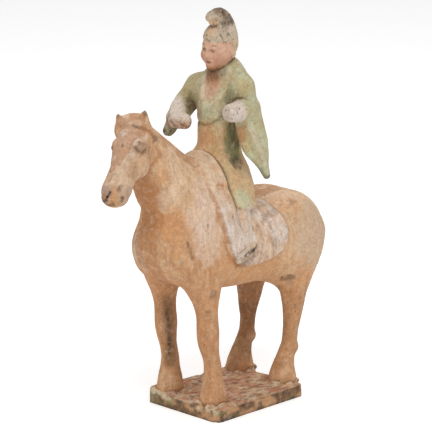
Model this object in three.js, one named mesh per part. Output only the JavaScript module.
// A horse and rider in painted earthenware, standing on its slab: one fired body, hollow in the original.
// Millimetres, +Z up. The horse looks along -Y and its left flank faces +X.
// The origin is the middle of the slab's underside.
// Every mass is a distance field: a function of a point, negative inside. The fields are blended as
// clay is, the surface is meshed on a grid, and the mesh is thinned to a count of triangles.

import * as THREE from "three";

// Driving dimensions
const SLAB = { corners: [[-44.5, -56], [49.5, -59], [48.5, 59.5], [-42, 54]], thickness: 12, round: 7,
  edge: 2 };
const LIFT = { at: [-34, -44], reach: [16, 18], height: 3.5 };
const HOOVES = { foreX: 27.5, foreY: -42, hindX: 27.5, hindY: 50, stouter: 1.2, slipLumps: 6,
  slipReach: 11.5 };
const RIDER = { headCentre: 337, headRadius: 15.4 };
const HEAD = { poll: [0, -121, 288.5], yaw: 16, roll: 6, pitch: 49, length: 71, eyeLie: 28 };
const HEAD_MIDDLE = { brow: 1.2, cheek: 2, muzzle: 4 };
const EAR_TIPS = { left: [13, -114.2, 298.8], right: [-13.6, -122.6, 292.6] };
const CLOTH = { raise: 2.6, band: 1.4, bandWidth: 8, top: 214, fade: 20 };
const FIST_END = -30.5;

// The grid's cell and the cells in a block of it, the box it fills, and the triangles that are kept
const MESH = { cell: 2.2, block: 4, low: [-66, -190, -8], high: [66, 132, 390], triangles: 9400 };
const PINCH_FILL = 0.05;
const BLOCK_REACH = 0.9;
const TINY = 1e-9;
const THINNING = { pull: 1e-3, least: 1e-12, shortEdges: 1e-4, wander: 2, turn: 0.3, level: 0.05 };

// Widths of the fillets between masses of clay
const FILLET = { soft: 12, arch: 10, body: 9, skirt: 8, cloth: 6, flesh: 5, close: 4, lobe: 3, jaw: 2.5,
  slight: 2, seam: 1.5, base: 1.2, edge: 1, hand: 0.8 };

// Lines: pieces of curve per point, reach in widths, distance from the form that still takes a line,
// and the rounds and probe that settle a point onto the form
const LINE = { steps: 6, reach: 3, within: 8, rounds: 3, probe: 0.5 };

// Small vector helpers
const add = (p, q) => [p[0] + q[0], p[1] + q[1], p[2] + q[2]];
const scale = (p, k) => [p[0] * k, p[1] * k, p[2] * k];
const dot = (p, q) => p[0] * q[0] + p[1] * q[1] + p[2] * q[2];
const cross = (p, q) => [p[1] * q[2] - p[2] * q[1], p[2] * q[0] - p[0] * q[2], p[0] * q[1] - p[1] * q[0]];
const unit = (p) => scale(p, 1 / Math.hypot(...p));
const radians = (degrees) => (degrees * Math.PI) / 180;
const mix = (a, b, t) => a + (b - a) * t;
const clamp = (t) => Math.min(Math.max(t, 0), 1);
const onSide = (sign, rows) => rows.map(([x, ...rest]) => [sign * x, ...rest]);
const both = (make) => [make(1), make(-1)];

// Joins of fields: k is the width of the clay fillet
function blend(k, ...forms) {
  return (x, y, z) => {
    let d = forms[0](x, y, z);
    for (let i = 1; i < forms.length; i += 1) {
      const e = forms[i](x, y, z);
      const h = Math.max(k - Math.abs(d - e), 0) / k;
      d = Math.min(d, e) - (h * h * k) / 4;
    }
    return d;
  };
}

function carve(k, form, ...tools) {
  return (x, y, z) => tools.reduce((d, tool) => {
    const e = -tool(x, y, z);
    const h = Math.max(k - Math.abs(d - e), 0) / k;
    return Math.max(d, e) + (h * h * k) / 4;
  }, form(x, y, z));
}

// Distance to an ellipsoid, from the point's places along its three axes
function ovoid(u, v, w, a, b, c) {
  const k0 = Math.sqrt((u / a) ** 2 + (v / b) ** 2 + (w / c) ** 2);
  const k1 = Math.sqrt((u / (a * a)) ** 2 + (v / (b * b)) ** 2 + (w / (c * c)) ** 2);
  return k1 < TINY ? -Math.min(a, b, c) : (k0 * (k0 - 1)) / k1;
}

function ellipsoid(centre, radii, axes = [[1, 0, 0], [0, 1, 0], [0, 0, 1]]) {
  const [s, n, t] = axes.map(unit);
  return (x, y, z) => {
    const p = [x - centre[0], y - centre[1], z - centre[2]];
    return ovoid(dot(p, s), dot(p, n), dot(p, t), ...radii);
  };
}

// A limb: elliptical sections along a smooth spine. A station is [x, y, z, side radius, depth radius].
// side is the direction of the side radius, and egg widens the section towards its depth side.
function limb(stations, { side = [1, 0, 0], egg = 0, steps = 4 } = {}) {
  const spine = new THREE.CatmullRomCurve3(stations.map((s) => new THREE.Vector3(s[0], s[1], s[2])));
  const girth = new THREE.CatmullRomCurve3(stations.map((s) => new THREE.Vector3(s[3], s[4], 0)));
  const count = (stations.length - 1) * steps;
  const rings = Array.from({ length: count + 1 }, (_, i) => {
    const { x: a, y: b } = girth.getPoint(i / count);
    const t = spine.getTangent(i / count).toArray();
    const s = unit(add(side, scale(t, -dot(side, t))));
    return { at: spine.getPoint(i / count).toArray(), a, b, t, s, n: cross(t, s) };
  });
  const spans = rings.slice(1).map((end, i) => {
    const run = add(end.at, scale(rings[i].at, -1));
    return { run, square: dot(run, run) };
  });
  return (x, y, z) => {
    let nearest = Infinity;
    let at = 0;
    let h = 0;
    for (let i = 0; i < count; i += 1) {
      const [ox, oy, oz] = rings[i].at;
      const [rx, ry, rz] = spans[i].run;
      const k = clamp(((x - ox) * rx + (y - oy) * ry + (z - oz) * rz) / spans[i].square);
      const square = (x - ox - k * rx) ** 2 + (y - oy - k * ry) ** 2 + (z - oz - k * rz) ** 2;
      if (square < nearest) {
        nearest = square;
        at = i;
        h = k;
      }
    }
    const start = rings[at];
    const end = rings[at + 1];
    const p = [0, 1, 2].map((m) => [x, y, z][m] - mix(start.at[m], end.at[m], h));
    const u = mix(dot(p, start.s), dot(p, end.s), h);
    const v = mix(dot(p, start.n), dot(p, end.n), h);
    const beyond = (at === 0 && h === 0) || (at === count - 1 && h === 1);
    const w = beyond ? mix(dot(p, start.t), dot(p, end.t), h) : 0;
    const b = mix(start.b, end.b, h);
    const a = mix(start.a, end.a, h) * (1 + egg * Math.max(-1, Math.min(1, v / b)));
    return ovoid(u, v, w, a, b, Math.min(a, b));
  };
}

// Keeps a field's cost down: far from its box, the distance to the box is enough
function near(low, high, form, margin = 14) {
  return (x, y, z) => {
    const dx = Math.max(low[0] - x, 0, x - high[0]);
    const dy = Math.max(low[1] - y, 0, y - high[1]);
    const dz = Math.max(low[2] - z, 0, z - high[2]);
    const d = Math.hypot(dx, dy, dz);
    return d > margin ? d : form(x, y, z);
  };
}

// Lines drawn on a form, each [width, depth, ...points]: pressed in, or raised when the depth is
// negative. The points are first moved onto the form's surface, and a smooth curve runs through them.
function score(form, lines) {
  const settle = (point) => {
    let p = point;
    const { probe } = LINE;
    const steps = [[probe, 0, 0], [0, probe, 0], [0, 0, probe]];
    for (let i = 0; i < LINE.rounds; i += 1) {
      const d = form(...p);
      const slope = steps.map((step) => form(...add(p, step)) - form(...add(p, scale(step, -1))));
      p = add(p, scale(unit(slope), -d));
    }
    return new THREE.Vector3(...p);
  };
  const drawn = lines.map(([width, depth, ...points]) => {
    const curve = new THREE.CatmullRomCurve3(points.map(settle));
    const path = curve.getPoints((points.length - 1) * LINE.steps).map((p) => p.toArray());
    const reach = LINE.reach * width;
    const bounds = new THREE.Box3().setFromArray(path.flat()).expandByScalar(reach);
    return { width, depth, path, reach, low: bounds.min.toArray(), high: bounds.max.toArray() };
  });
  return (x, y, z) => {
    const d = form(x, y, z);
    if (Math.abs(d) > LINE.within) return d;
    let pressed = d;
    for (const { width, depth, path, reach, low, high } of drawn) {
      if (x < low[0] || x > high[0] || y < low[1] || y > high[1] || z < low[2] || z > high[2]) continue;
      let square = reach * reach;
      for (let i = 1; i < path.length; i += 1) {
        const [ox, oy, oz] = path[i - 1];
        const [rx, ry, rz] = [path[i][0] - ox, path[i][1] - oy, path[i][2] - oz];
        const along = (x - ox) * rx + (y - oy) * ry + (z - oz) * rz;
        const k = clamp(along / (rx * rx + ry * ry + rz * rz));
        square = Math.min(square, (x - ox - k * rx) ** 2 + (y - oy - k * ry) ** 2 + (z - oz - k * rz) ** 2);
      }
      if (square < reach * reach) pressed += depth * Math.exp(-square / (width * width));
    }
    return pressed;
  };
}

// Distance to a closed outline in a plane, negative inside
function outline(points, samples = 40) {
  const curve = new THREE.CatmullRomCurve3(points.map(([u, v]) => new THREE.Vector3(u, v, 0)), true);
  const ring = curve.getPoints(samples).map((p) => [p.x, p.y]);
  return (u, v) => {
    let best = Infinity;
    let inside = false;
    for (let i = 1; i < ring.length; i += 1) {
      const [au, av] = ring[i - 1];
      const [bu, bv] = ring[i];
      const [eu, ev] = [bu - au, bv - av];
      const h = clamp(((u - au) * eu + (v - av) * ev) / (eu * eu + ev * ev));
      best = Math.min(best, Math.hypot(u - au - h * eu, v - av - h * ev));
      if (av > v !== bv > v && u < au + (eu * (v - av)) / ev) inside = !inside;
    }
    return inside ? -best : best;
  };
}

// The slab, a little out of square, thicker under the right forefoot and chipped along its rim
function slab() {
  const { corners, thickness, round, edge } = SLAB;
  const sides = corners.map(([x0, y0], i) => {
    const [x1, y1] = corners[(i + 1) % corners.length];
    const length = Math.hypot(x1 - x0, y1 - y0);
    return { x0, y0, nx: (y1 - y0) / length, ny: (x0 - x1) / length };
  });
  const plate = (x, y, z) => {
    const [dx, dy] = [(x - LIFT.at[0]) / LIFT.reach[0], (y - LIFT.at[1]) / LIFT.reach[1]];
    const lift = LIFT.height * Math.exp(-dx * dx - dy * dy);
    const [south, east, north, west] = sides.map((s) => (x - s.x0) * s.nx + (y - s.y0) * s.ny + round);
    const px = Math.max(east, west);
    const py = Math.max(south, north);
    const side = Math.hypot(Math.max(px, 0), Math.max(py, 0)) + Math.min(Math.max(px, py), 0) - round;
    const top = z - thickness - lift;
    const rim = Math.hypot(Math.max(side + edge, 0), Math.max(top + edge, 0));
    return Math.max(rim + Math.min(Math.max(side, top) + edge, 0) - edge, -z);
  };
  // A chip is [x, y, z, radius]
  const chips = [[-22, -59, 13, 4.5], [14, -60.5, 10, 3.5], [51, -50, 13, 4], [52, -14, 10, 3.4],
    [51.5, 20, 13, 4.2], [48, -61, 2, 5], [-45, -30, 13, 4], [-44, 12, 11, 4]];
  const tools = chips.map(([x, y, z, r]) => ellipsoid([x, y, z], [r, r, 0.8 * r]));
  return carve(FILLET.edge, plate, ...tools);
}

// The horse
function trunk() {
  return limb([
    [0, -78, 168, 27, 26],
    [0, -62, 165, 36, 37],
    [0, -38, 160, 42, 43],
    [0, -8, 153, 43.5, 42],
    [0, 22, 149.5, 44, 40],
    [0, 52, 152.5, 43, 40.5],
    [0, 82, 147, 36, 37],
    [0, 99, 143, 25, 26],
  ], { steps: 8 });
}

function breast(sign) {
  return ellipsoid([sign * 15, -75, 156], [20, 19, 26]);
}

function foreleg(sign) {
  const x = sign * HOOVES.foreX;
  const y = HOOVES.foreY;
  return limb([
    [x * 0.86, y - 10, 150, 19, 27],
    [x * 0.91, y - 10, 130, 16.2, 22],
    [x * 0.96, y - 8.5, 113, 12.4, 14],
    [x * 0.98, y - 7, 97, 9.8, 10.4],
    [x * 0.98, y - 6, 80, 10.2, 10.8],
    [x * 0.98, y - 5, 69, 9.2, 9.8],
    [x, y - 2, 55, 7.6, 8],
    [x, y, 44, 8, 8.6],
    [x, y, 36, 9, 9.2],
    [x, y, 26, 11, 11.2],
    [x, y, 16, 12.2, 12.8],
    [x, y, 10, 12.2, 13.2],
  ], { steps: 3 });
}

function hindleg(sign) {
  const x = sign * HOOVES.hindX;
  const y = HOOVES.hindY;
  // The right hind leg is stouter in front
  const more = sign < 0 ? HOOVES.stouter : 0;
  const leg = limb([
    [x * 0.8, y + 16, 142, 22, 38],
    [x * 0.86, y + 18 - more, 126, 19, 29],
    [x * 0.94, y + 18 - more, 108, 14.5 + more, 19.5],
    [x * 0.98, y + 16.5 - more, 95, 11.5 + more, 13.5 + more],
    [x, y + 15.5 - more, 82, 9.6 + more, 10.4 + more],
    [x, y + 14 - more, 70, 8, 8.8 + more],
    [x, y + 12, 58, 6.8, 7.6],
    [x, y + 10.5, 47, 6.8, 7.8],
    [x, y + 6, 36, 7.8, 8.8],
    [x, y + 3, 27, 9.6, 11],
    [x, y + 1.5, 18, 12, 13.4],
    [x, y + 1.5, 10, 12.6, 14.4],
  ], { steps: 3 });
  const ergot = ellipsoid([x, y + 18.5, 41], [3.4, 4, 4.5]);
  return blend(FILLET.close, leg, ergot);
}

// Lumps of slip that hold each hoof to the slab
function slip() {
  const { foreX, foreY, hindX, hindY, slipLumps, slipReach } = HOOVES;
  const feet = [[foreX, foreY], [-foreX, foreY], [hindX, hindY + 1.5], [-hindX, hindY + 1.5]];
  const lumps = feet.flatMap(([x, y], foot) => Array.from({ length: slipLumps }, (_, i) => {
    const angle = ((i + 0.37 * foot) / slipLumps) * 2 * Math.PI;
    const swell = 1 + 0.35 * Math.sin(5 * i + 3 * foot);
    const at = [x + slipReach * Math.cos(angle), y + slipReach * Math.sin(angle), SLAB.thickness];
    return ellipsoid(at, [5 * swell, 4.6 * swell, 2.8 * swell]);
  }));
  return blend(FILLET.close, ...lumps);
}

function haunch(sign) {
  return ellipsoid([sign * 17, 66, 144.5], [27, 44, 43.5]);
}

function neck() {
  return limb([
    [0, -44, 184, 36, 40],
    [0, -59.3, 205.8, 31, 36.6],
    [0, -75.5, 225.1, 25, 31.3],
    [0, -93.4, 249.2, 19.5, 23.8],
    [0, -108, 271.2, 14.5, 15.5],
  ], { egg: -0.3, steps: 8 });
}

// The horse's head has its own axes: along the face, across it and out of it
function headAxes() {
  const { poll, yaw, roll, pitch, length } = HEAD;
  const ahead = [Math.sin(radians(yaw)), -Math.cos(radians(yaw)), 0];
  const flat = [Math.cos(radians(yaw)), Math.sin(radians(yaw)), 0];
  const across = add(scale(flat, Math.cos(radians(roll))), [0, 0, Math.sin(radians(roll))]);
  const rise = cross(across, ahead);
  const above = scale(rise, Math.sign(rise[2]));
  const along = add(scale(ahead, Math.cos(radians(pitch))), scale(above, -Math.sin(radians(pitch))));
  const out = cross(along, across);
  const place = (s, w, n) => add(poll, add(scale(along, s * length), add(scale(across, w), scale(out, n))));
  return { along, across, out, place };
}

function head() {
  const { along, across, out, place } = headAxes();
  const { brow, cheek, muzzle } = HEAD_MIDDLE;
  const lie = radians(HEAD.eyeLie);
  const lidward = add(scale(along, Math.sin(lie)), scale(out, Math.cos(lie)));
  const noseward = add(scale(along, Math.cos(lie)), scale(out, -Math.sin(lie)));
  const pair = (middle, [s, w, n], radii, axes = [across, out, along]) => both((sign) => {
    return ellipsoid(place(s, middle + sign * w, n), radii, axes);
  });
  // A row is [place along the face, depth, half width, half depth]
  const rows = [[-0.04, -15, 12, 12], [0.1, -16, 14.5, 14.5], [0.28, -16.5, 14.6, 16], [0.48, -16, 13.4, 16],
    [0.65, -14, 13, 14], [0.8, -11.5, 13.5, 12], [0.92, -10.5, 14.5, 11], [1, -11, 13, 9.5]];
  const skull = limb(rows.map(([s, n, a, b]) => [...place(s, 0, n), a, b]), { side: across, steps: 6 });
  const brows = pair(brow, [0.31, 11, -8.5], [4.6, 8, 7]);
  const flares = pair(muzzle, [0.92, 8, -5], [4.8, 4.6, 5]);
  const cheeks = pair(cheek, [0.47, 8.6, -17], [8.2, 14.5, 14.5]);
  const eyes = pair(brow, [0.31, 13.4, -8.8], [2.6, 6, 3.9], [across, lidward, noseward]);
  const nostrils = pair(muzzle, [1.045, 6.7, -4.6], [1.7, 2, 1.6]);
  const broad = blend(FILLET.flesh, skull, ...brows, ...flares);
  const full = blend(FILLET.seam, blend(FILLET.jaw, broad, ...cheeks), ...eyes);

  const trace = (points, middle = 0) => points.map(([s, w, n]) => place(s, middle + w, n));
  const lips = [[0.97, 11.5, -12], [1.04, 9, -9.5], [1.08, 0, -9], [1.04, -9, -9.5], [0.97, -11.5, -12]];
  const mouth = trace(lips, muzzle);
  const flare = trace([[0.9, 12, -4], [0.88, 8, -0.5], [0.93, 3, 0]], muzzle);
  const hollows = both((sign) => {
    return trace([[0.5, sign * 14, -4], [0.62, sign * 13.5, -8], [0.7, sign * 13, -14]]);
  });
  return score(carve(FILLET.edge, full, ...nostrils), [
    [1.6, 1.2, ...mouth],
    [2.4, -0.8, ...flare],
    ...hollows.map((hollow) => [2.4, 1.1, ...hollow]),
  ]);
}

function ears() {
  const { place, across } = headAxes();
  const ear = (sign, tip) => {
    const foot = place(0.02, sign * 9.5, -9.5);
    const part = (t) => foot.map((v, i) => mix(v, tip[i], t));
    return limb([[...foot, 6.5, 4], [...part(0.5), 5.4, 3], [...part(0.85), 2.8, 1.8], [...tip, 0.9, 0.8]],
      { side: across, steps: 3 });
  };
  return blend(FILLET.slight, ear(1, EAR_TIPS.left), ear(-1, EAR_TIPS.right));
}

// The forelock is swept from the poll to both sides and ends in a short lock below each ear
function forelock() {
  const { place, along } = headAxes();
  const lock = (rows) => {
    return limb(rows.map(([s, w, n, a, b]) => [...place(s, w, n), a, b]), { side: along, steps: 6 });
  };
  const left = lock([[-0.04, -1, -5.5, 7, 6], [-0.02, 6, -5.5, 7, 5.5], [0.01, 11, -8.5, 6, 4.8],
    [0.03, 13.5, -14.5, 5.2, 4.2], [0.05, 15.5, -21, 3.6, 3.2], [0.09, 17, -26, 1.5, 1.5]]);
  const right = lock([[-0.05, 1, -5.5, 7, 6], [-0.03, -7, -6, 7, 6], [0.01, -12, -7.5, 6, 5],
    [0.08, -13.2, -8, 4.6, 4], [0.14, -13, -9, 2.6, 2.6]]);
  const strands = [[[-0.05, 3, 1], [-0.02, 10, -2], [0.01, 16, -9], [0.04, 18, -17]],
    [[0.02, 5, 0], [0.04, 12, -3], [0.06, 17, -11], [0.08, 19, -21]]];
  return score(blend(FILLET.slight, left, right), strands.map((strand) => {
    return [1.5, 0.8, ...strand.map((point) => place(...point))];
  }));
}

function tail() {
  const dock = limb([[0, 102, 173, 6, 5], [0, 110, 162, 7, 6], [0, 114, 147, 7.5, 5.5],
    [0, 113, 128, 5.5, 4.5], [0, 109, 116, 3, 3]]);
  const binding = [158, 151, 144].map((z) => [1.5, 0.8, [-7, 113, z], [0, 120, z + 2], [7, 113, z]]);
  return score(dock, binding);
}

// Saddle cloth: the flanks are raised inside an outline seen from the side, as [y, z], and raised
// again in a band along its front edge. It fades out towards the rider
function saddleCloth(body) {
  const { raise, band, bandWidth, top, fade } = CLOTH;
  const edge = outline([[-45, 221], [-44, 205], [-41, 182], [-36, 158], [-22, 142], [1, 138.5], [22, 141],
    [37, 150], [41, 164], [38, 180], [32, 192], [22, 206], [-10, 225]]);
  return (x, y, z) => {
    const d = body(x, y, z);
    if (Math.abs(d) > LINE.within) return d;
    const inside = -edge(y, z);
    const front = clamp((-8 - y - (z - 150) * 0.3) / fade);
    const strip = clamp(inside / raise) * clamp((bandWidth - inside) / raise);
    return d - (raise * clamp(inside / raise + 0.5) + band * front * strip) * clamp((top - z) / fade);
  };
}

// The pommel's arch, with the cloth drawn up over the withers in front of it, and the hole at its foot
function withers(sign) {
  return limb(onSide(sign, [
    [6, -38, 226, 14, 12],
    [16, -36, 214, 15, 12],
    [24, -33, 200, 14, 11.5],
    [29, -30, 186, 11, 10],
    [34, -28, 172, 8, 8],
  ]), { side: [0, 1, 0], steps: 8 });
}

function pommel() {
  const plate = ellipsoid([0, -30, 213], [30, 8, 31]);
  const hole = ellipsoid([30.4, -35.6, 217.2], [3.2, 3.6, 2.6]);
  const rim = [[0, -26, 243.5], [9, -26, 241], [18, -26, 234], [25, -26, 225], [28, -27, 217]];
  const arch = carve(FILLET.edge, blend(FILLET.arch, plate, ...both(withers)), hole);
  return score(arch, both((sign) => [2, -0.9, ...onSide(sign, rim)]));
}

// The rider
function gown() {
  const torso = limb([
    [0, -2, 203, 31, 27],
    [0, -3, 222, 25.5, 22.5],
    [0, -5, 240, 21, 19.5],
    [0, -5.5, 256, 20.5, 18.5],
    [0, -5, 272, 21, 18.5],
    [0, -5, 286, 23, 19],
    [0, -4, 299, 23, 15.5],
    [0, -2, 311, 14, 12],
  ]);
  const shoulders = limb([[-26, -5, 295, 11, 11.5], [-13, -2, 303, 10.5, 10.5], [0, 0, 310, 12, 10],
    [12, 1, 311, 11, 11], [23, 0, 303, 11, 11]], { side: [0, 1, 0] });
  const nape = ellipsoid([4, 4, 315], [13, 8, 13]);
  const skirt = (sign) => limb(onSide(sign, [
    [10, -2, 218, 16, 20],
    [21, -5, 209, 12.5, 19],
    [28.5, -7, 200, 8, 16.5],
    [33.5, -7, 194, 5, 15.5],
  ]));
  const form = blend(FILLET.skirt, torso, shoulders, nape, ...both(skirt));
  const hem = [[-24, -12, 274], [-8.6, -22, 270], [0, -23.5, 270], [6.3, -22.7, 271.5], [11, -21, 275],
    [19, -14, 281]];
  const folds = [[17.8, -14.7], [20, -9.7], [20.5, -3.3]].flatMap(([x, y]) => both((sign) => {
    return [2, 1.3, ...onSide(sign, [[x, y, 269], [x, y, 253], [x + 2, y, 234], [x + 5, y - 1, 220]])];
  }));
  return score(form, [
    [2, -1.3, ...hem],
    [1.8, 1.8, ...hem.map(([x, y, z]) => [x, y, z - 3.2])],
    [2.2, 1.8, [16, -6, 319], [18, -11, 310], [14.6, -16.6, 298.4], [8.2, -21.8, 290.7], [1.4, -24, 286]],
    [2.2, 1.6, [-10, -14, 310], [-6, -20, 298], [1, -24, 288]],
    ...folds,
  ]);
}

function leftArm() {
  const arm = limb([[23, 0, 302, 11, 11.5], [26, 1, 291, 10.5, 12], [29, 0, 282, 10, 12],
    [33, -10, 284, 10, 10.5]]);
  const sleeve = limb([[31, -1, 284, 8.5, 13], [35, -1, 268, 7.5, 14], [38.5, 2, 251, 6.5, 13.4],
    [40.5, 6.8, 239, 5, 9.2], [41, 10.3, 229.5, 4, 5.6], [41.5, 14.5, 219.5, 3, 3.4]],
  { side: [0.95, -0.3, 0] });
  const fold = [2.4, -1.4, [40, -9, 272], [44.5, -2, 254], [46, 5, 238], [44.5, 12, 222]];
  const hollow = [3, 1.3, [36, -13, 270], [40, -8, 254], [42, 0, 240], [42, 8, 228]];
  return score(blend(FILLET.flesh, arm, sleeve), [fold, hollow]);
}

// The right sleeve is broken off below the forearm
function rightArm() {
  const arm = limb([[-26, -5, 296, 11, 11.5], [-31, -11, 286, 10.5, 11.5], [-34, -18, 277, 10.5, 11],
    [-33, -25, 270, 9, 10]]);
  const stub = limb([[-37, -18, 274, 8, 11], [-42, -21, 264, 7, 9], [-46, -24, 254, 5.5, 6.5]],
    { side: [0.9, 0.4, 0] });
  const fold = [2, 1.2, [-24, -17, 291], [-24, -19, 285], [-23, -17, 279]];
  return score(blend(FILLET.close, arm, stub), [fold]);
}

// The left fist ends in a flat face, and the right one keeps the edge of its cuff
function hands() {
  const fist = limb([[34, -6, 284, 9.5, 10], [34.5, -16, 284.5, 9, 9.5], [34, -25, 284.5, 8, 8.5]]);
  const left = (x, y, z) => Math.max(fist(x, y, z), FIST_END - y);
  const right = limb([[-36, -26, 268, 8.5, 9.5], [-27, -30, 269, 8.5, 9], [-18, -32, 269, 6.5, 7.5]],
    { side: [0, 1, 0] });
  const cuff = [1.8, 1, [-36, -36, 270], [-29, -35, 275], [-22, -31, 277.5], [-18, -24, 277]];
  return blend(FILLET.edge, left, score(right, [cuff]));
}

// Trouser leg and boot, low on the cloth
function leg(sign) {
  const shin = limb(onSide(sign, [
    [31, -12, 199, 7, 9],
    [38.6, -13, 180, 4.4, 9.5],
    [42.3, -13, 161, 3.6, 9],
  ]));
  const boot = limb(onSide(sign, [
    [43.6, -4, 157, 3, 5],
    [45, -15, 152.5, 3.4, 5.8],
    [45.2, -27, 149.5, 3, 5],
  ]));
  const folds = [[-20, -22], [-14.5, -16.5], [-8, -10]].map(([top, foot]) => {
    return [2, 1.2, ...onSide(sign, [[42, top, 192], [45, foot, 176], [48, foot, 163]])];
  });
  return score(blend(FILLET.lobe, shin, boot), folds);
}

function riderHead() {
  const c = RIDER.headCentre;
  const skull = ellipsoid([0, -5, c], [RIDER.headRadius, 15.6, 18]);
  const jaw = ellipsoid([0, -9.5, c - 9], [11, 10.5, 10.5]);
  const neck = limb([[0, -2, c - 28, 9.5, 9.5], [0, -3, c - 14, 9, 9]]);
  const nose = limb([[0, -19.6, c + 0.5, 1.4, 1.4], [0, -21.4, c - 5.5, 2, 1.8]]);
  const lips = ellipsoid([0, -18.8, c - 11], [3.4, 2, 1.8]);
  const eyes = both((sign) => ellipsoid([sign * 6, -19.2, c - 1], [4, 2, 2]));
  const form = blend(FILLET.slight, blend(FILLET.close, skull, jaw, neck), nose, lips);
  return carve(FILLET.seam, form, ...eyes);
}

// Hair swept up from the brow into a knot that leans forward
function hair() {
  const c = RIDER.headCentre;
  const cap = ellipsoid([0, -4.3, c + 6], [15.8, 15.7, 17.5]);
  const knot = limb([[0, 1, c + 2, 14, 12], [0, 1.5, c + 13, 12.4, 10.5], [0, 0, c + 22, 10.6, 9],
    [0, -5, c + 28.5, 9, 8], [0, -13, c + 28.5, 7.2, 6.8]]);
  const brow = ellipsoid([0, -14, c - 4], [30, 30, 12]);
  const crease = [[-7, -12, c + 24], [-3, -18, c + 24], [2, -18.5, c + 26], [6, -14, c + 26],
    [8, -6, c + 23]];
  const strands = [-12, -6, 0, 6, 12].map((x) => {
    return [1.6, 0.6, [x, -19, c + 11], [0.8 * x, -17, c + 16], [0.5 * x, -12, c + 21]];
  });
  const swept = blend(FILLET.lobe, carve(FILLET.lobe, cap, brow), knot);
  return score(swept, [[1.8, 1.5, ...crease], ...strands]);
}

function horse() {
  const body = blend(FILLET.soft, trunk(), ...both(haunch), ...both(breast), neck());
  const legs = near([-50, -80, 0], [50, 115, 190], blend(FILLET.slight, ...both(foreleg), ...both(hindleg)));
  const mask = blend(FILLET.seam, blend(FILLET.close, head(), ears()), forelock());
  const face = near([-35, -185, 205], [50, -85, 315], mask);
  const arch = near([-45, -60, 160], [45, -15, 252], pommel());
  const raised = blend(FILLET.cloth, blend(FILLET.body, body, legs), arch);
  const { place } = headAxes();
  const jaw = [[0.14, 18, -26], [0.22, 18, -29.5], [0.3, 17, -31.5], [0.38, 16.5, -32.5], [0.47, 16, -33],
    [0.56, 14.5, -32], [0.64, 13, -28.5], [0.72, 11, -22]];
  const chest = [[-19, -90, 186], [-9, -99, 180], [0, -103, 173], [9, -101, 163], [20, -96, 154],
    [28, -87, 147]];
  const throat = [[-24, -80, 196], [-14, -92, 202], [-8, -101, 212], [-4, -107, 224]];
  const clothed = score(saddleCloth(blend(FILLET.jaw, raised, face)), [
    ...both((sign) => [2.2, 2, ...jaw.map(([s, w, n]) => place(s, sign * w, n))]),
    [4, 1.6, ...chest],
    [3.5, 1.2, ...throat],
    [2, 1.4, [-11, -98, 152], [-7, -97.5, 150], [-4, -95, 146]],
    [1.3, 1.6, [33, -79, 169], [34, -78.6, 165], [35.5, -77, 159]],
  ]);
  return blend(FILLET.slight, clothed, near([-10, 90, 100], [10, 130, 185], tail()));
}

function rider() {
  const limbs = blend(FILLET.hand, blend(FILLET.flesh, leftArm(), rightArm()), hands());
  const arms = near([-65, -50, 210], [65, 40, 320], limbs);
  const crown = near([-25, -35, 300], [25, 30, 385], blend(FILLET.base, riderHead(), hair()));
  const dressed = blend(FILLET.close, blend(FILLET.cloth, gown(), arms), ...both(leg));
  return near([-65, -50, 135], [65, 45, 385], blend(FILLET.seam, dressed, crown));
}

function figure() {
  const feet = near([-50, -62, 5], [50, 75, 20], slip());
  const whole = blend(FILLET.base, horse(), rider(), blend(FILLET.slight, slab(), feet));
  return (x, y, z) => Math.max(whole(x, y, z), -z);
}

// The corners and edges of a grid cell, and the patterns of corners inside the clay that pinch it:
// a face with two opposite corners inside, or corners of one kind that share no edge
const CORNERS = [0, 1, 2, 3, 4, 5, 6, 7].map((c) => [c & 1, (c >> 1) & 1, c >> 2]);
const EDGES = CORNERS.flatMap((_, p) => [1, 2, 4].filter((bit) => !(p & bit)).map((bit) => [p, p | bit]));

function pinched(mask) {
  const inside = (c) => (mask >> c) & 1;
  const faces = [[1, 2], [1, 4], [2, 4]].flatMap(([u, v]) => {
    return [0, 7 - u - v].map((base) => [base, base | u, base | u | v, base | v].map(inside));
  });
  if (faces.some(([a, b, c, d]) => a === c && b === d && a !== b)) return true;
  return [0, 1].some((kind) => {
    const left = new Set(CORNERS.keys().filter((c) => inside(c) === kind));
    const stack = [...left].slice(0, 1);
    while (stack.length > 0) {
      const c = stack.pop();
      if (left.delete(c)) stack.push(c ^ 1, c ^ 2, c ^ 4);
    }
    return left.size > 0;
  });
}

function sweep([nx, ny, nz], step, visit) {
  for (let k = 0; k < nz; k += step) {
    for (let j = 0; j < ny; j += step) {
      for (let i = 0; i < nx; i += step) visit(i, j, k);
    }
  }
}

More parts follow.
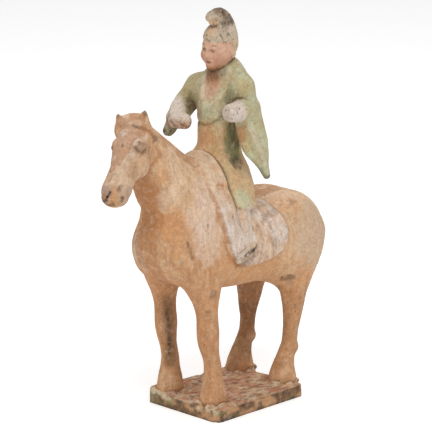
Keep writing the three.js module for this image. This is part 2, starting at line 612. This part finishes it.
// Surface nets: one vertex in each grid cell that the surface crosses, and a quad for each crossed edge
function surface(field) {
  const { cell, block, low, high } = MESH;
  const size = low.map((v, i) => Math.ceil((high[i] - v) / cell / block) * block + 1);
  const inner = size.map((n) => n - 1);
  const index = (i, j, k) => i + size[0] * (j + size[1] * k);
  const sample = (i, j, k) => field(low[0] + i * cell, low[1] + j * cell, low[2] + k * cell);
  const values = new Float32Array(size[0] * size[1] * size[2]).fill(Infinity);

  // A block of cells that the surface cannot reach only takes a sign
  const reach = BLOCK_REACH * Math.sqrt(3) * block * cell;
  sweep(inner, block, (i, j, k) => {
    const middle = sample(i + block / 2, j + block / 2, k + block / 2);
    const empty = Math.abs(middle) > reach;
    sweep([block + 1, block + 1, block + 1], 1, (a, b, c) => {
      const at = index(i + a, j + b, k + c);
      if (Math.abs(values[at]) < reach) return;
      values[at] = empty ? Math.sign(middle) * 2 * reach : sample(i + a, j + b, k + c);
    });
  });

  // Where two sheets of the surface pinch together in one cell, clay fills the pinch
  const shifts = CORNERS.map(([a, b, c]) => index(a, b, c));
  const bad = Array.from({ length: 256 }, (_, mask) => pinched(mask));
  for (let filled = -1; filled !== 0;) {
    filled = 0;
    sweep(inner, 1, (i, j, k) => {
      const at = index(i, j, k);
      const mask = shifts.reduce((bits, shift, c) => bits | ((values[at + shift] < 0) << c), 0);
      if (!bad[mask]) return;
      const open = shifts.filter((shift) => values[at + shift] >= 0);
      const least = open.reduce((p, q) => (values[at + p] < values[at + q] ? p : q));
      values[at + least] = -PINCH_FILL * cell;
      filled += 1;
    });
  }

  const vertices = [];
  const cells = new Int32Array(values.length).fill(-1);
  sweep(inner, 1, (i, j, k) => {
    const at = index(i, j, k);
    const d = shifts.map((shift) => values[at + shift]);
    const sum = [0, 0, 0];
    let hits = 0;
    for (const [p, q] of EDGES) {
      if (d[p] < 0 === d[q] < 0) continue;
      const t = d[p] / (d[p] - d[q]);
      for (let m = 0; m < 3; m += 1) sum[m] += mix(CORNERS[p][m], CORNERS[q][m], t);
      hits += 1;
    }
    if (hits === 0) return;
    cells[at] = vertices.length / 3;
    vertices.push(...[i, j, k].map((step, m) => low[m] + (step + sum[m] / hits) * cell));
  });
  const faces = [];
  sweep(inner, 1, (i, j, k) => {
    if (i * j * k === 0) return;
    const here = values[index(i, j, k)] < 0;
    const around = [
      [values[index(i + 1, j, k)] < 0, [0, -1, -1], [0, 0, -1], [0, 0, 0], [0, -1, 0]],
      [values[index(i, j + 1, k)] < 0, [-1, 0, -1], [-1, 0, 0], [0, 0, 0], [0, 0, -1]],
      [values[index(i, j, k + 1)] < 0, [-1, -1, 0], [0, -1, 0], [0, 0, 0], [-1, 0, 0]],
    ];
    for (const [there, ...ring] of around) {
      if (here === there) continue;
      const q = ring.map(([a, b, c]) => cells[index(i + a, j + b, k + c)]);
      if (!here) q.reverse();
      faces.push(q[0], q[1], q[2], q[0], q[2], q[3]);
    }
  });
  return { vertices, faces };
}

// Thinning: each edge is priced by how far its collapse would move the surface, and the cheapest go
// first until the count of triangles is reached
function thin({ vertices, faces }, target) {
  const corners = [];
  for (let i = 0; i < faces.length; i += 3) corners.push([faces[i], faces[i + 1], faces[i + 2]]);
  const places = [];
  for (let i = 0; i < vertices.length; i += 3) places.push([vertices[i], vertices[i + 1], vertices[i + 2]]);
  const around = places.map(() => new Set());
  corners.forEach((face, f) => face.forEach((v) => around[v].add(f)));
  const toward = (p, q) => [q[0] - p[0], q[1] - p[1], q[2] - p[2]];
  const normalOf = (a, b, c) => cross(toward(a, b), toward(a, c));

  // A vertex's quadric holds the squared distances to the planes of its faces, weighted by area
  const quadrics = places.map(() => new Float64Array(10));
  corners.forEach((face) => {
    const [a, b, c] = face.map((v) => places[v]);
    const normal = normalOf(a, b, c);
    const area = Math.hypot(...normal);
    if (area < TINY) return;
    const [nx, ny, nz] = scale(normal, 1 / area);
    const d = -dot([nx, ny, nz], a);
    const terms = [nx * nx, nx * ny, nx * nz, nx * d, ny * ny, ny * nz, ny * d, nz * nz, nz * d, d * d];
    face.forEach((v) => terms.forEach((term, i) => { quadrics[v][i] += term * area; }));
  });
  const cost = (q, [x, y, z]) => {
    const squares = q[0] * x * x + q[4] * y * y + q[7] * z * z;
    const products = q[1] * x * y + q[2] * x * z + q[5] * y * z;
    return squares + 2 * (products + q[3] * x + q[6] * y + q[8] * z) + q[9];
  };
  const lowest = (q, middle) => {
    const pull = THINNING.pull * (q[0] + q[4] + q[7]) + THINNING.least;
    const m = new THREE.Matrix3(q[0] + pull, q[1], q[2], q[1], q[4] + pull, q[5], q[2], q[5], q[7] + pull);
    const v = new THREE.Vector3(pull * middle[0] - q[3], pull * middle[1] - q[6], pull * middle[2] - q[8]);
    return v.applyMatrix3(m.invert()).toArray();
  };

  // The queue is a binary heap, and an entry is stale once either end of its edge has moved
  const stamps = new Int32Array(places.length);
  const heap = [];
  const rise = (entry) => {
    let at = heap.push(entry) - 1;
    while (at > 0) {
      const parent = (at - 1) >> 1;
      if (heap[parent].price <= entry.price) break;
      heap[at] = heap[parent];
      at = parent;
    }
    heap[at] = entry;
  };
  const take = () => {
    const top = heap[0];
    const last = heap.pop();
    if (heap.length === 0) return top;
    let at = 0;
    for (;;) {
      let child = 2 * at + 1;
      if (child >= heap.length) break;
      if (child + 1 < heap.length && heap[child + 1].price < heap[child].price) child += 1;
      if (heap[child].price >= last.price) break;
      heap[at] = heap[child];
      at = child;
    }
    heap[at] = last;
    return top;
  };
  const offer = (a, b) => {
    const q = quadrics[a].map((term, i) => term + quadrics[b][i]);
    const middle = scale(add(places[a], places[b]), 0.5);
    const length = Math.hypot(...toward(places[a], places[b]));
    const place = lowest(q, middle);
    const spot = Math.hypot(...toward(place, middle)) > THINNING.wander * length ? middle : place;
    const price = cost(q, spot) + THINNING.shortEdges * length ** 3;
    rise({ price, a, b, spot, q, stamp: stamps[a] + stamps[b] });
  };
  const neighbours = (v) => {
    const ring = new Set();
    around[v].forEach((f) => corners[f].forEach((w) => ring.add(w)));
    ring.delete(v);
    return ring;
  };
  const flips = (v, other, spot) => [...around[v]].some((f) => {
    const face = corners[f];
    if (face.includes(other)) return false;
    const before = normalOf(...face.map((w) => places[w]));
    const after = normalOf(...face.map((w) => (w === v ? spot : places[w])));
    return dot(before, after) < THINNING.turn * Math.hypot(...before) * Math.hypot(...after);
  });

  corners.forEach((face) => face.forEach((v, i) => {
    const w = face[(i + 1) % 3];
    if (v < w) offer(v, w);
  }));
  let count = corners.length;
  while (count > target && heap.length > 0) {
    const { a, b, spot, q, stamp } = take();
    if (!around[a].size || !around[b].size || stamp !== stamps[a] + stamps[b]) continue;
    const ringA = neighbours(a);
    const shared = [...neighbours(b)].filter((v) => ringA.has(v));
    if (!ringA.has(b) || shared.length !== 2 || flips(a, b, spot) || flips(b, a, spot)) continue;
    places[a] = spot;
    quadrics[a] = q;
    [...around[b]].forEach((f) => {
      if (corners[f].includes(a)) {
        corners[f].forEach((v) => around[v].delete(f));
        corners[f] = null;
        count -= 1;
      } else {
        corners[f] = corners[f].map((v) => (v === b ? a : v));
        around[a].add(f);
      }
    });
    around[b].clear();
    stamps[a] += 1;
    stamps[b] += 1;
    neighbours(a).forEach((v) => offer(a, v));
  }
  const kept = corners.filter((face) => face !== null);
  const order = new Map();
  kept.flat().forEach((v) => {
    if (!order.has(v)) order.set(v, order.size);
  });
  // The underside is level to the last figure
  const level = ([x, y, z]) => [x, y, z < THINNING.level ? 0 : z];
  const spots = [...order.keys()].flatMap((v) => level(places[v]));
  return { vertices: spots, faces: kept.flat().map((v) => order.get(v)) };
}

const { vertices, faces } = thin(surface(figure()), MESH.triangles);
const geometry = new THREE.BufferGeometry();
geometry.setAttribute("position", new THREE.Float32BufferAttribute(vertices, 3));
geometry.setIndex(faces);
const clay = new THREE.MeshStandardMaterial({ color: 0xcfa17c, roughness: 0.9 });
const mesh = new THREE.Mesh(geometry, clay);
mesh.name = "horse_and_rider";
const group = new THREE.Group();
group.add(mesh);
export default group;
